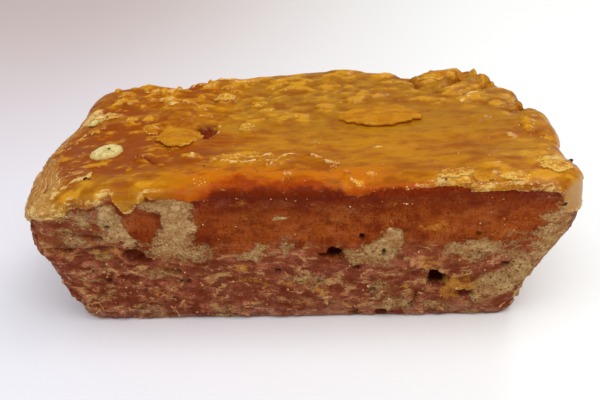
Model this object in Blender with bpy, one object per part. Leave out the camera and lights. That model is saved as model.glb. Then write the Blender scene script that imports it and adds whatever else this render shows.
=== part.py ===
"""A block of jaggery: cane juice boiled down and set in a tapered wooden mould, lying on its narrow face.

+X runs along the block, -Y is its long front wall and +Z is up. The origin is under the middle of the
block, on the surface that it stands on.
"""

import math

import bmesh
import bpy
from mathutils import Vector, noise

MM = 0.001
TINY = 0.001 * MM

# The block at its widest level, just under the top skin.
LENGTH = 167.0 * MM
DEPTH = 86.0 * MM
HEIGHT = 57.5 * MM
CELL = 3.6 * MM

# How far each wall leans in by the time it reaches the foot, and how late along its height it does so.
LEAN_LEFT, BOW_LEFT = 6.6 * MM, 1.7
LEAN_RIGHT, BOW_RIGHT = 15.0 * MM, 1.3
LEAN_FRONT, BOW_FRONT = 10.2 * MM, 1.0
LEAN_BACK, BOW_BACK = 9.0 * MM, 1.2

CORNER_ROUND = 9.0 * MM  # upright corners, seen from above
RIM_ROUND = (8.0 * MM, 3.6 * MM)  # across and down, where the top skin rolls over
FOOT_ROUND = (2.6 * MM, 2.0 * MM)

# The skin sags towards both ends, which cooled against the mould's end boards.
SAG_LEFT = (-38.0 * MM, 6.0 * MM, 1.8)  # where it starts, how deep at the end, how curved
SAG_RIGHT = (56.0 * MM, 1.6 * MM, 2.0)

# Each lump or dent: its middle, its reach and how far it moves the surface there, all in millimetres.
LUMPS = {
    "front left corner slumps": ((-82, -44, 52), 24, (0.5, 1.5, -3.0)),
    "left rim swells": ((-84, -8, 48), 36, (-2.4, 0, 0)),
    "back left corner stands up": ((-76, 36, 54), 26, (0.8, -0.2, 1.4)),
    "dip behind the left end": ((-47, 43, 56), 14, (0, -4.0, -1.0)),
    "back rim bulges": ((8, 43, 55), 40, (0, 3.0, 1.0)),
    "dip right of the bulge": ((39, 43, 56), 10, (0, -4.5, -1.8)),
    "back lump": ((50, 38, 57), 13, (0, 1.5, 0.3)),
    "hollow in front of the back lump": ((45, 29, 58), 9, (0, 0, -2.2)),
    "back right corner is lost": ((87, 46, 46), 45, (-15.0, -8.5, -0.5)),
    "first lobe at the lost corner": ((62, 39, 54), 12, (4.0, 4.2, 1.6)),
    "cleft between the first lobes": ((70, 27, 55), 9, (-3.0, -1.0, -0.5)),
    "second lobe": ((74, 23, 53), 8, (2.4, 1.8, 0.4)),
    "cleft before the third lobe": ((82, 12, 52), 10, (-8.5, -1.0, -1.6)),
    "back of the third lobe": ((80, 3, 55), 9, (-1.0, -1.0, 0.4)),
    "side of the third lobe": ((85, -3, 53), 11, (-2.2, 0, 0)),
    "third lobe": ((82, -21, 52), 14, (-4.0, 0, 0.3)),
    "left wall swells under the rim": ((-80, -32, 38), 16, (-2.0, 0, 0)),
    "right wall bellies": ((80, -36, 36), 26, (2.4, -0.4, 0)),
    "right rim draws in": ((84, -42, 56), 16, (-3.2, 0, 0)),
    "left wall bellies": ((-80, -36, 24), 28, (-2.0, 0, 0)),
    "long crest along the front": ((-8, -30, 58), 24, (0, 0, 0.8)),
    "front wall hollows under the rim": ((10, -44, 42), 30, (0, 1.0, 0)),
    "top sinks in the middle": ((10, -16, 58), (100, 58, 18), (0, 0, -2.6)),
}

# Blow holes in the front wall: middle along X and Z, half sizes along X, Y and Z, in millimetres.
BLOW_HOLES = {
    "hollow_low_right": ((44.3, 14.8), (3.0, 3.6, 3.1)),
    "hollow_middle": ((11.4, 28.0), (3.0, 2.6, 1.7)),
    "hollow_left": ((-54.5, 27.5), (4.2, 2.4, 1.9)),
}
HOLE_RINGS = 9
HOLE_SIDES = 12

# Uneven setting of the whole surface: size of its swells and how far they stand out.
SWELLS = ((30.0 * MM, 0.9 * MM), (11.0 * MM, 0.5 * MM))
SWELL_SEED = 7

SYRUP_BROWN = (0.36, 0.105, 0.02, 1.0)


def clear_scene():
    for old in list(bpy.data.objects):
        bpy.data.objects.remove(old)


def gridded_box():
    """A box of the block's full size, cut into cells and seated on the ground."""
    bm = bmesh.new()
    bmesh.ops.create_cube(bm, size=1.0)
    bmesh.ops.scale(bm, vec=(LENGTH, DEPTH, HEIGHT), verts=bm.verts)
    bmesh.ops.translate(bm, vec=(0, 0, HEIGHT / 2), verts=bm.verts)
    for axis, size in enumerate((LENGTH, DEPTH, HEIGHT)):
        along = [e for e in bm.edges if abs((e.verts[0].co - e.verts[1].co)[axis]) > size / 2]
        bmesh.ops.subdivide_edges(bm, edges=along, cuts=round(size / CELL) - 1, use_grid_fill=True)
    return bm


def rounded_corner(x, y):
    """Moves a point of the box's plan into a plan with round corners."""
    over_x = abs(x) - (LENGTH / 2 - CORNER_ROUND)
    over_y = abs(y) - (DEPTH / 2 - CORNER_ROUND)
    if over_x <= 0 or over_y <= 0:
        return x, y
    pull = max(over_x, over_y) / math.hypot(over_x, over_y)
    across = LENGTH / 2 - CORNER_ROUND + over_x * pull
    back = DEPTH / 2 - CORNER_ROUND + over_y * pull
    return math.copysign(across, x), math.copysign(back, y)


def round_drop(inset, across, down):
    """How far a rounded edge lies below its flat face, at a distance in from the wall."""
    if inset >= across:
        return 0.0
    return down * (1 - math.sqrt(1 - (1 - inset / across) ** 2))


def level(z, inset):
    """Height of a point once the rim and the foot are rounded."""
    low, high = FOOT_ROUND[1], HEIGHT - RIM_ROUND[1]
    if z > HEIGHT - TINY:
        return HEIGHT - round_drop(inset, *RIM_ROUND)
    if z < TINY:
        return round_drop(inset, *FOOT_ROUND)
    return low + (high - low) * z / HEIGHT


def leaned(x, y, z):
    """Leans the walls in towards the foot."""
    depth = max(0.0, 1 - z / (HEIGHT - RIM_ROUND[1]))
    if x < 0:
        x *= 1 - LEAN_LEFT * depth**BOW_LEFT / (LENGTH / 2)
    else:
        x *= 1 - LEAN_RIGHT * depth**BOW_RIGHT / (LENGTH / 2)
    if y < 0:
        y *= 1 - LEAN_FRONT * depth**BOW_FRONT / (DEPTH / 2)
    else:
        y *= 1 - LEAN_BACK * depth**BOW_BACK / (DEPTH / 2)
    return x, y


def sag(x):
    """How much lower the skin lies towards the two ends."""
    start_left, deep_left, curve_left = SAG_LEFT
    start_right, deep_right, curve_right = SAG_RIGHT
    if x < start_left:
        return deep_left * ((start_left - x) / (LENGTH / 2 + start_left)) ** curve_left
    if x > start_right:
        return deep_right * ((x - start_right) / (LENGTH / 2 - start_right)) ** curve_right
    return 0.0


def lumped(point):
    """Moves a point by every lump and dent that reaches it."""
    moved = point.copy()
    for middle, reach, push in LUMPS.values():
        across = reach if isinstance(reach, tuple) else (reach, reach, reach)
        away = point - Vector(middle) * MM
        far = Vector([step / (size * MM) for step, size in zip(away, across)]).length
        if far < 1:
            moved += Vector(push) * MM * (1 - far * far) ** 2
    return moved


def swollen(point):
    """Moves a point by the slow swells of a surface that set unevenly."""
    moved = point.copy()
    for size, height in SWELLS:
        moved += noise.noise_vector(point / size) * height
    return moved


def shaped(co):
    """The place on the finished block of a point of the plain box."""
    inset = max(0.0, min(LENGTH / 2 - abs(co.x), DEPTH / 2 - abs(co.y)))
    x, y = rounded_corner(co.x, co.y)
    z = level(co.z, inset)
    x, y = leaned(x, y, z)
    standing = min(1.0, z / (10 * MM))
    z *= 1 - sag(x) / HEIGHT
    start = Vector((x, y, z))
    point = start.lerp(swollen(lumped(start)), standing)
    point.z = max(point.z, 0.0) if z > 0 else 0.0
    return point


def block_mesh():
    bm = gridded_box()
    for v in bm.verts:
        v.co = shaped(v.co)
    lying = [f for f in bm.faces if all(v.co.z < TINY for v in f.verts)]
    bmesh.ops.dissolve_faces(bm, faces=lying, use_verts=True)
    low = Vector([min(v.co[i] for v in bm.verts) for i in range(3)])
    high = Vector([max(v.co[i] for v in bm.verts) for i in range(3)])
    bmesh.ops.translate(bm, vec=(-(low.x + high.x) / 2, -(low.y + high.y) / 2, 0), verts=bm.verts)
    mesh = bpy.data.meshes.new("jaggery_block")
    bm.to_mesh(mesh)
    bm.free()
    return mesh


def wall_depth(z):
    """Y of the front wall at a height."""
    return leaned(0, -DEPTH / 2, z)[1]


def hole_cutter(name, middle, half_sizes):
    """A flattened ball, set into the front wall, that leaves one blow hole."""
    x, z = middle
    bm = bmesh.new()
    bmesh.ops.create_uvsphere(bm, u_segments=HOLE_SIDES, v_segments=HOLE_RINGS, radius=MM)
    bmesh.ops.scale(bm, vec=half_sizes, verts=bm.verts)
    for v in bm.verts:
        v.co *= 1 + 0.25 * noise.noise(v.co / (2.0 * MM) + Vector(middle).to_3d())
    mesh = bpy.data.meshes.new(name)
    bm.to_mesh(mesh)
    bm.free()
    cutter = bpy.data.objects.new(name, mesh)
    cutter.location = (x * MM, wall_depth(z * MM), z * MM)
    cutter.hide_render = True
    cutter.display_type = "WIRE"
    bpy.context.collection.objects.link(cutter)
    return cutter


def jaggery_material():
    material = bpy.data.materials.new("set cane syrup")
    material.use_nodes = True
    finish = material.node_tree.nodes["Principled BSDF"]
    finish.inputs["Base Color"].default_value = SYRUP_BROWN
    finish.inputs["Roughness"].default_value = 0.45
    finish.inputs["Metallic"].default_value = 0.0
    return material


def build():
    clear_scene()
    noise.seed_set(SWELL_SEED)
    mesh = block_mesh()
    mesh.shade_smooth()
    mesh.materials.append(jaggery_material())
    block = bpy.data.objects.new("jaggery_block", mesh)
    bpy.context.collection.objects.link(block)
    for name, (middle, half_sizes) in BLOW_HOLES.items():
        cut = block.modifiers.new(name, "BOOLEAN")
        cut.operation = "DIFFERENCE"
        cut.solver = "EXACT"
        cut.object = hole_cutter(name, middle, half_sizes)


build()
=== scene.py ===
import math

import bmesh
import bpy
import numpy as np
from mathutils import Matrix, Vector, noise
from mathutils.bvhtree import BVHTree


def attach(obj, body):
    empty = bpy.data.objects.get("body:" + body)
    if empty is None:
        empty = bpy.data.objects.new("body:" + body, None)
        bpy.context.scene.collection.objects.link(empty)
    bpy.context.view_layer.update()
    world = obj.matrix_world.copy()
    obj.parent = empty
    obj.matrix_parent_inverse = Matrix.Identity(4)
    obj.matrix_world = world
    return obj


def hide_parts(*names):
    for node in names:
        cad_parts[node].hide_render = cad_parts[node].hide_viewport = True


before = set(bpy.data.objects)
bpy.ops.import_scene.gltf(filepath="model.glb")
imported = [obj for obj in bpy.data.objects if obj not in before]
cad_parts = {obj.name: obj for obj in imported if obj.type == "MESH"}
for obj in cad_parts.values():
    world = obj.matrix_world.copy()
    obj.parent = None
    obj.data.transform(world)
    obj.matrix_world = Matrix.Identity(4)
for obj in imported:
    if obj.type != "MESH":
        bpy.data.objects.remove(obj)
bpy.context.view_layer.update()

MM = 0.001

# --------------------------------------------------
# The body. A block of jaggery is cane juice boiled down to a thick syrup and beaten until it grains, then
# poured into a tapered wooden mould, where it sets from the boards inwards. Its walls come out as a coarse
# red-brown sugar crust with blow holes, folds and a pale bloom where the sugar has dried.

LENGTH, DEPTH, HEIGHT = 167.0 * MM, 86.0 * MM, 57.5 * MM
LEANS = {
    "left": (6.6 * MM, 1.7), "right": (15.0 * MM, 1.3), "front": (10.2 * MM, 1.0), "back": (9.0 * MM, 1.2)}
CORNER_ROUND = 9.0 * MM
RIM_ROUND = (8.0 * MM, 3.6 * MM)
FOOT_ROUND = (2.6 * MM, 2.0 * MM)
SAG_LEFT = (-38.0 * MM, 6.0 * MM, 1.8)
SAG_RIGHT = (56.0 * MM, 1.6 * MM, 2.0)
TO_CENTRE = np.array((0.734, -1.111, 0.0)) * MM

# Lumps and dents of the whole block: middle, reach and push, in millimetres.
LUMPS = (
    ((-82, -44, 52), 24, (0.5, 1.5, -3)), ((-84, -8, 48), 36, (-2.4, 0, 0)),
    ((-76, 36, 54), 26, (0.8, -0.2, 1.4)), ((-47, 43, 56), 14, (0, -4, -1)),
    ((8, 43, 55), 40, (0, 3, 1)), ((39, 43, 56), 10, (0, -4.5, -1.8)),
    ((50, 38, 57), 13, (0, 1.5, 0.3)), ((45, 29, 58), 9, (0, 0, -2.2)),
    ((87, 46, 46), 45, (-15, -8.5, -0.5)), ((62, 39, 54), 12, (4, 4.2, 1.6)),
    ((70, 27, 55), 9, (-3, -1, -0.5)), ((74, 23, 53), 8, (2.4, 1.8, 0.4)),
    ((82, 12, 52), 10, (-8.5, -1, -1.6)), ((80, 3, 55), 9, (-1, -1, 0.4)),
    ((85, -3, 53), 11, (-2.2, 0, 0)), ((82, -21, 52), 14, (-4, 0, 0.3)),
    ((-80, -32, 38), 16, (-2, 0, 0)), ((80, -36, 36), 26, (2.4, -0.4, 0)),
    ((84, -42, 56), 16, (-3.2, 0, 0)), ((-80, -36, 24), 28, (-2, 0, 0)),
    ((-8, -30, 58), 24, (0, 0, 0.8)), ((10, -44, 42), 30, (0, 1, 0)),
    ((10, -16, 58), (100, 58, 18), (0, 0, -2.6)),
)
SWELLS = ((30.0 * MM, 0.9 * MM), (11.0 * MM, 0.5 * MM))
SWELL_SEED = 7
HAIR = 1e-6
FRONT_FROM = -25 * MM


def gridded_box(cell, top, bottom):
    """The block's plain box, its walls cut into cells; top and bottom are cut too where they are wanted."""
    bm = bmesh.new()
    bmesh.ops.create_cube(bm, size=1.0)
    bmesh.ops.scale(bm, vec=(LENGTH, DEPTH, HEIGHT), verts=bm.verts)
    bmesh.ops.translate(bm, vec=(0, 0, HEIGHT / 2), verts=bm.verts)
    flats = [f for f in bm.faces if abs(f.normal.z) > 0.5]
    dropped = [f for f in flats if not (top if f.normal.z > 0 else bottom)]
    bmesh.ops.delete(bm, geom=dropped, context="FACES")
    for axis, size in enumerate((LENGTH, DEPTH, HEIGHT)):
        along = [e for e in bm.edges if abs((e.verts[0].co - e.verts[1].co)[axis]) > size / 2]
        bmesh.ops.subdivide_edges(bm, edges=along, cuts=round(size / cell) - 1, use_grid_fill=True)
    return bm


def places(bm):
    bm.verts.ensure_lookup_table()
    return np.array([v.co for v in bm.verts])


def put(bm, where):
    for v, co in zip(bm.verts, where):
        v.co = co


def ball(where, middle, reach):
    """1 at the middle (in millimetres), falling smoothly to nothing at the reach."""
    far = ((where - np.array(middle) * MM) / (np.array(reach) * MM)) ** 2
    return np.clip(1 - far.sum(axis=1), 0, None) ** 2


def rough(where, size, shift=0, octaves=3):
    """Noise of about -1 to 1, with grains of the given size, one value for each point."""
    step = Vector((shift, shift * 0.7, -shift))
    return np.array([noise.fractal(Vector(p) / size + step, 0.9, 2.1, octaves) for p in where])


def on_block(where):
    """The places on the finished block of points on its plain box."""
    x, y, z = where.T
    inset = np.clip(np.minimum(LENGTH / 2 - abs(x), DEPTH / 2 - abs(y)), 0, None)
    over_x, over_y = abs(x) - LENGTH / 2 + CORNER_ROUND, abs(y) - DEPTH / 2 + CORNER_ROUND
    corner = (over_x > 0) & (over_y > 0)
    pull = np.where(corner, np.maximum(over_x, over_y) / np.maximum(np.hypot(over_x, over_y), 1e-9), 1)
    x = np.where(corner, np.sign(x) * (LENGTH / 2 - CORNER_ROUND + over_x * pull), x)
    y = np.where(corner, np.sign(y) * (DEPTH / 2 - CORNER_ROUND + over_y * pull), y)

    def drop(across, down):
        return down * (1 - np.sqrt(1 - np.clip(1 - inset / across, 0, 1) ** 2))

    low, high = FOOT_ROUND[1], HEIGHT - RIM_ROUND[1]
    level = low + (high - low) * z / HEIGHT
    level = np.where(z > HEIGHT - HAIR, HEIGHT - drop(*RIM_ROUND), level)
    z = np.where(z < HAIR, drop(*FOOT_ROUND), level)

    down = np.clip(1 - z / high, 0, None)
    for side, (lean, bow) in LEANS.items():
        if side in ("left", "right"):
            on_side = x < 0 if side == "left" else x > 0
            x = np.where(on_side, x * (1 - lean * down**bow / (LENGTH / 2)), x)
        else:
            on_side = y < 0 if side == "front" else y > 0
            y = np.where(on_side, y * (1 - lean * down**bow / (DEPTH / 2)), y)

    standing = np.clip(z / (10 * MM), 0, 1)[:, None]
    left = np.clip((SAG_LEFT[0] - x) / (LENGTH / 2 + SAG_LEFT[0]), 0, None)
    right = np.clip((x - SAG_RIGHT[0]) / (LENGTH / 2 - SAG_RIGHT[0]), 0, None)
    z = z * (1 - (SAG_LEFT[1] * left ** SAG_LEFT[2] + SAG_RIGHT[1] * right ** SAG_RIGHT[2]) / HEIGHT)
    start = np.stack([x, y, z], axis=1)
    shaped = start.copy()
    for middle, reach, push in LUMPS:
        shaped += ball(start, middle, reach)[:, None] * np.array(push) * MM
    noise.seed_set(SWELL_SEED)
    lumped = shaped.copy()
    for size, height in SWELLS:
        shaped += np.array([noise.noise_vector(Vector(p) / size) for p in lumped]) * height
    shaped = start + (shaped - start) * standing
    shaped[:, 2] = np.clip(shaped[:, 2], 0, None)
    return shaped + TO_CENTRE


def outward(bm):
    bm.normal_update()
    return np.array([v.normal for v in bm.verts])


def smooth(value, low, high):
    """0 below low, 1 above high and an even curve between."""
    t = np.clip((value - low) / (high - low), 0, 1)
    return t * t * (3 - 2 * t)


def on_front(where, middle, reach):
    """The root of ball, for a patch of the front wall given along X and Z only."""
    return (ball(where[:, [0, 2]], middle, reach) * (where[:, 1] < FRONT_FROM)) ** 0.5


def torn_edge(inside, ragged, low, high):
    """0 outside low and 1 inside high of a patch, its edge made ragged but nothing past its reach."""
    return smooth(inside + ragged * (inside > 0), low, high)


def paint(mesh, name, values):
    """Keeps one value a point on the mesh, for its material to read."""
    layer = mesh.attributes.new(name, "FLOAT", "POINT")
    layer.data.foreach_set("value", np.asarray(values, dtype=np.float32))


def finished(name, bm, material, **painted):
    """Makes the bmesh an object in place, smooth shaded, with its painted values and its material."""
    mesh = bpy.data.meshes.new(name)
    bm.to_mesh(mesh)
    bm.free()
    for layer, values in painted.items():
        paint(mesh, layer, values)
    mesh.shade_smooth()
    mesh.materials.append(material)
    piece = bpy.data.objects.new(name, mesh)
    bpy.context.scene.collection.objects.link(piece)
    return piece


class Wire:
    """An output of a material's node. Sums on it add Math nodes, and node() adds any other."""

    def __init__(self, tree, socket=None):
        self.tree, self.socket = tree, socket

    def node(self, kind, settings=None, sockets=None, out=0):
        """Adds a node: its settings first, then values or wires for its sockets, by name or number."""
        made = self.tree.nodes.new(kind)
        for name, value in (settings or {}).items():
            setattr(made, name, value)
        for name, value in (sockets or {}).items():
            if isinstance(value, Wire):
                self.tree.links.new(value.socket, made.inputs[name])
            else:
                made.inputs[name].default_value = value
        return Wire(self.tree, made.outputs[out] if made.outputs else None)

    def sum(self, operation, *terms):
        return self.node("ShaderNodeMath", {"operation": operation}, dict(enumerate(terms)))

    def __add__(self, other):
        return self.sum("ADD", self, other)

    def __sub__(self, other):
        return self.sum("SUBTRACT", self, other)

    def __rsub__(self, other):
        return self.sum("SUBTRACT", other, self)

    def __mul__(self, other):
        return self.sum("MULTIPLY", self, other)

    __radd__, __rmul__ = __add__, __mul__

    def above(self, low, high):
        """0 below low, 1 above high, eased between."""
        sockets = {"Value": self, "From Min": low, "From Max": high}
        return self.node("ShaderNodeMapRange", {"interpolation_type": "SMOOTHSTEP"}, sockets)

    def tint(self, under, over):
        """under where this is 0, over where it is 1: wires, or colours as linear takes them."""
        sockets = {0: self, 6: linear(under), 7: linear(over)}
        return self.node("ShaderNodeMix", {"data_type": "RGBA"}, sockets, out=2)

    def painted(self, layer):
        return self.node("ShaderNodeAttribute", {"attribute_name": layer}, out=2)

    def spread(self, size, stretch, shift):
        """Places on the piece in steps of size (metres), drawn out along each axis by stretch, and moved."""
        place = self.node("ShaderNodeTexCoord", out=3)
        scale = tuple(1 / (size * s) for s in stretch)
        sockets = {"Vector": place, "Scale": scale, "Location": (shift,) * 3}
        return self.node("ShaderNodeMapping", None, sockets)

    def grain(self, size, detail=3.0, stretch=(1, 1, 1), roughness=0.55, shift=0):
        """Noise from 0 to 1 with grains of the given size."""
        place = self.spread(size, stretch, shift)
        sockets = {"Vector": place, "Scale": 1.0, "Detail": detail, "Roughness": roughness}
        return self.node("ShaderNodeTexNoise", None, sockets)

    def cells(self, size, shift):
        """How far each place is from the nearest of scattered dots, about size apart."""
        place = self.spread(size, (1, 1, 1), shift)
        return self.node("ShaderNodeTexVoronoi", None, {"Vector": place, "Scale": 1.0})

    def bumped(self, height):
        return self.node("ShaderNodeBump", None, {"Height": self, "Distance": height, "Strength": 1.0})


def linear(colour):
    """A colour as it looks on a screen, 0 to 255, made linear. A wire stays as it is."""
    if isinstance(colour, Wire):
        return colour
    return (*(v / 255 / 12.92 if v <= 10 else ((v / 255 + 0.055) / 1.055) ** 2.4 for v in colour), 1.0)


def layered(colour, *layers):
    """The colour with others laid over it in turn, each a pair: how much of it shows, and the colour."""
    for much, over in layers:
        colour = much.tint(colour, over)
    return colour


def finish_of(name):
    """A new material and the loose end from which its nodes are strung."""
    material = bpy.data.materials.new(name)
    material.use_nodes = True
    material.node_tree.nodes.clear()
    return material, Wire(material.node_tree)


def surface(wire, colour, roughness, shine, depth=(), **sockets):
    """The Principled surface that ends a material. depth is how much light sinks in, for red, green and blue
    how far, and the scale of that."""
    sockets |= {"Base_Color": colour, "Roughness": roughness, "Specular_IOR_Level": shine}
    sockets |= zip(("Subsurface_Weight", "Subsurface_Radius", "Subsurface_Scale"), depth)
    shader = wire.node("ShaderNodeBsdfPrincipled", None, {k.replace("_", " "): v for k, v in sockets.items()})
    wire.node("ShaderNodeOutputMaterial", None, {"Surface": shader})


# Hollows of the front wall: X and Z of the middle, half width, half height and depth, in millimetres.
FRONT_HOLES = (
    (43.4, 17.2, 3.1, 3, 5), (42, 20.6, 1.3, 1.6, 2.6), (11.4, 29.3, 2.4, 2.4, 3.4),
    (8.6, 28.9, 2, 0.9, 1.6), (52, 10.6, 3, 1.6, 1.3), (-51.5, 30.4, 3.4, 2.6, 1.5),
    (-48.4, 28.6, 2.2, 1.4, 1), (-37.3, 17.8, 1.8, 1.2, 1.3), (-41, 23.3, 2.4, 1.2, 0.6),
    (19.9, 36, 0.9, 0.9, 2), (26.6, 30, 0.7, 1.1, 1.6), (-57.4, 42.4, 0.8, 0.8, 1.6),
    (-38.7, 22.4, 0.8, 0.7, 1.2), (-6.9, 22.1, 1, 0.9, 1.5), (-62, 19, 1.1, 1, 1.3),
    (54.7, 37.1, 0.9, 0.7, 1.3), (63.9, 23.4, 1.3, 0.9, 1.3), (18, 23.2, 1.1, 0.7, 1.2),
    (23, 13.2, 1, 0.8, 1.2), (-71.5, 33.4, 1.7, 0.8, 1.3), (26.1, 1.6, 2.8, 1.8, 1.4),
    (17.9, 1.6, 2.2, 1.6, 1.2),
)
# Cracks of the front wall, each a run of X and Z, in millimetres.
FRONT_CRACKS = (
    ((-66, 33.0), (-61, 34.2), (-56, 33.6), (-52, 31.5)),
    ((-71, 40.5), (-66, 38.6), (-60, 38.2)),
    ((37, 12.0), (36.5, 7.5), (33, 4.0)),
)
# The pale dry sugar bloomed on the front wall: X, Z, half width, half height and strength.
FRONT_BLOOM = (
    (-36, 51, 5, 3.4, 1), (-34.8, 45, 4, 6.5, 1), (-37, 38, 4.6, 5, 0.9), (-40, 33, 6.5, 4.5, 0.72),
    (-34, 30.5, 7, 4.2, 0.62), (-40.5, 51, 5, 2.2, 0.85), (-56.5, 46.5, 3.2, 5.5, 0.95),
    (-54.5, 40, 3.2, 3.8, 0.85), (-51.5, 35.6, 3.8, 2.2, 0.65), (-58, 37.5, 5, 3, 0.6),
    (-64, 43.5, 3, 2.2, 0.6), (-70, 37.5, 4.5, 5, 0.5), (-63, 28, 5, 7, 0.35),
    (28.5, 35, 3.2, 3.2, 0.95), (26, 31, 5, 4, 0.95), (20.5, 27, 5.5, 2.6, 0.8),
    (16, 29.5, 3, 1.6, 0.55), (24, 25, 6, 1.8, 0.62), (50, 30, 5.5, 2.4, 0.7), (57, 32, 5, 2.8, 0.78),
    (63.5, 28.5, 5, 2.6, 0.62), (56, 27.5, 9, 2, 0.5), (66.5, 34.5, 4, 3, 0.5),
    (62, 14, 5.5, 5.5, 0.92), (57.5, 9.5, 3, 4, 0.7), (69, 17, 3, 4, 0.6), (25.5, 13, 4, 3, 0.6),
    (30, 6.5, 6, 3, 0.7), (2, 17.5, 6, 3, 0.6), (-14, 29, 5.5, 1.6, 0.72), (-3.5, 32, 2, 4, 0.72),
    (-11.5, 32.5, 2.2, 3, 0.5), (-52, 5, 7, 3, 0.5), (-28, 4.5, 7, 2.2, 0.5), (-4.5, 44.2, 1.8, 0.9, 1),
    (-73, 47, 6, 1.4, 0.8), (-66, 47.5, 6, 2, 0.7), (-46, 22, 5, 2, 0.45), (-66, 22, 5, 3, 0.35),
    (8, 8, 9, 3.5, 0.35), (45, 6, 9, 3, 0.5), (78, 42, 5, 8, 0.66), (75, 32, 4.5, 8, 0.74),
    (69.5, 20, 4.5, 7, 0.78),
)
# Golden places of the front wall, in the same way.
FRONT_GOLD = (
    (42.5, 40, 5, 2, 0.75), (50, 15, 4.5, 3.6, 0.95), (47.5, 11, 2.4, 3, 0.9), (41, 25, 2.4, 3, 0.8),
    (33, 14.6, 3, 1.2, 0.8), (55.5, 13, 1.8, 3.6, 0.75), (57, 36.5, 5, 1.2, 0.6),
    (-20, 23, 5, 1.8, 0.6), (-15, 18, 6.5, 1.5, 0.7), (-2, 16.5, 8, 1.5, 0.75), (7, 13, 5, 1.4, 0.6),
    (-60, 31, 5.5, 2, 0.7), (-47.5, 13, 3, 2, 0.7), (10.5, 26.5, 4.5, 1.2, 0.7), (-74, 34, 3, 5, 0.4),
    (68, 11, 4, 6, 0.4), (-15.5, 48, 2.2, 5, 0.5), (30.5, 49, 1.2, 2.4, 0.45),
)


# How far a patch fades beyond its half width.
SPREAD = 1.6


def patches(where, places_of):
    """The strongest of some patches of the front wall, at each place."""
    most = np.zeros(len(where))
    for x, z, wide, tall, strength in places_of:
        most = np.maximum(most, on_front(where, (x, z), (wide * SPREAD, tall * SPREAD)) * strength)
    return most


def off_line(x, y, points):
    """How far each place is from a line through the points, in their units, and minus that at its right."""
    near = np.full(len(x), 1e9)
    for (ax, ay), (bx, by) in zip(points, points[1:]):
        run = np.clip(((x - ax) * (bx - ax) + (y - ay) * (by - ay)) / ((bx - ax) ** 2 + (by - ay) ** 2), 0, 1)
        away = np.hypot(x - ax - run * (bx - ax), y - ay - run * (by - ay))
        side = np.sign((bx - ax) * (y - ay) - (by - ay) * (x - ax))
        near = np.where(away < abs(near), away * np.where(side == 0, 1, side), near)
    return near


def platelets(where, facing, spots, draw, long, thick, ragged, soft=0.35, askew=0.9, lean=0.0):
    """Thin overlapping flakes grown on a surface: their height (mm), their lifted half and its brink."""
    height, lip, brink = np.zeros(len(where)), np.zeros(len(where)), np.zeros(len(where))
    for spot in spots:
        out = facing[spot]
        level = np.array((1.0, 0, 0)) if abs(out[2]) > 0.7 else np.cross((0, 0, 1.0), out)
        level = level - out * level.dot(out)
        level /= np.linalg.norm(level)
        up = np.cross(out, level)
        turn = lean + draw.normal(0, askew)
        run, rise = level * math.cos(turn) + up * math.sin(turn), up * math.cos(turn) - level * math.sin(turn)
        half = draw.uniform(*long) / 2 * MM
        tall = half * draw.uniform(0.4, 0.85)
        lifted = draw.uniform(*thick)
        near = np.flatnonzero(np.abs(where - where[spot]).max(axis=1) < half * 1.5)
        off = where[near] - where[spot]
        a, b, c = off @ run / half, off @ rise / tall, off @ out / half
        plate = smooth(1 - np.sqrt(a * a + b * b + c * c) + ragged[near], 0, soft)
        tilt = smooth(b, -1.1, 0.8)
        height[near] = np.maximum(height[near], plate * tilt * lifted)
        lip[near] = np.maximum(lip[near], plate * smooth(b, -0.1, 0.7))
        brink[near] = np.maximum(brink[near], 4 * plate * (1 - plate) * smooth(b, 0.1, 0.7))
    return height, lip, brink


def nodules(where, size, shift):
    """Round bumps crowded together: 1 on their tops, 0 between them."""
    step = Vector((shift, shift * 0.7, -shift))
    away = np.array([noise.voronoi(Vector(p) / size + step)[0][0] for p in where])
    return 1 - np.clip(away / 0.7, 0, 1) ** 2


def ledges(where, tall, seed):
    """Thin uneven folds lying over one another, each rising slowly to a lip and dropping steeply below."""
    warp = rough(where * np.array((0.5, 0.5, 1)), 9 * MM, seed)
    step = (where[:, 2] / MM + 0.3 * where[:, 0] / MM) / tall + 1.5 * warp
    part = step % 1
    return np.where(part < 0.75, part / 0.75, (1 - part) / 0.25)


# Where lobes of the rim part: the middle, reach and depth of the notch, in millimetres.
NOTCHES = (((82, 12, 57), (9, 8.5, 10), 7.5), ((60.5, 43, 57), (4, 10, 6), 2.4))
LOW_FLAKES, HIGH_FLAKES, SIDE_HOLES = 380, 60, 44
WALL_SEED = 11
WALL_CELL = 0.6 * MM
FOOT_STEPS = (0.35, 0.55, 0.8, 1.0, 2.3)
SUNK = 6.0 * MM
RIM_STEPS = (0.3, 0.4, 0.5, 0.6, 0.7, 0.8, 0.9, 1.0, 1.2, 1.6)
ALONG_GRAIN = np.array((0.7, 0.7, 1.0))

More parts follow.
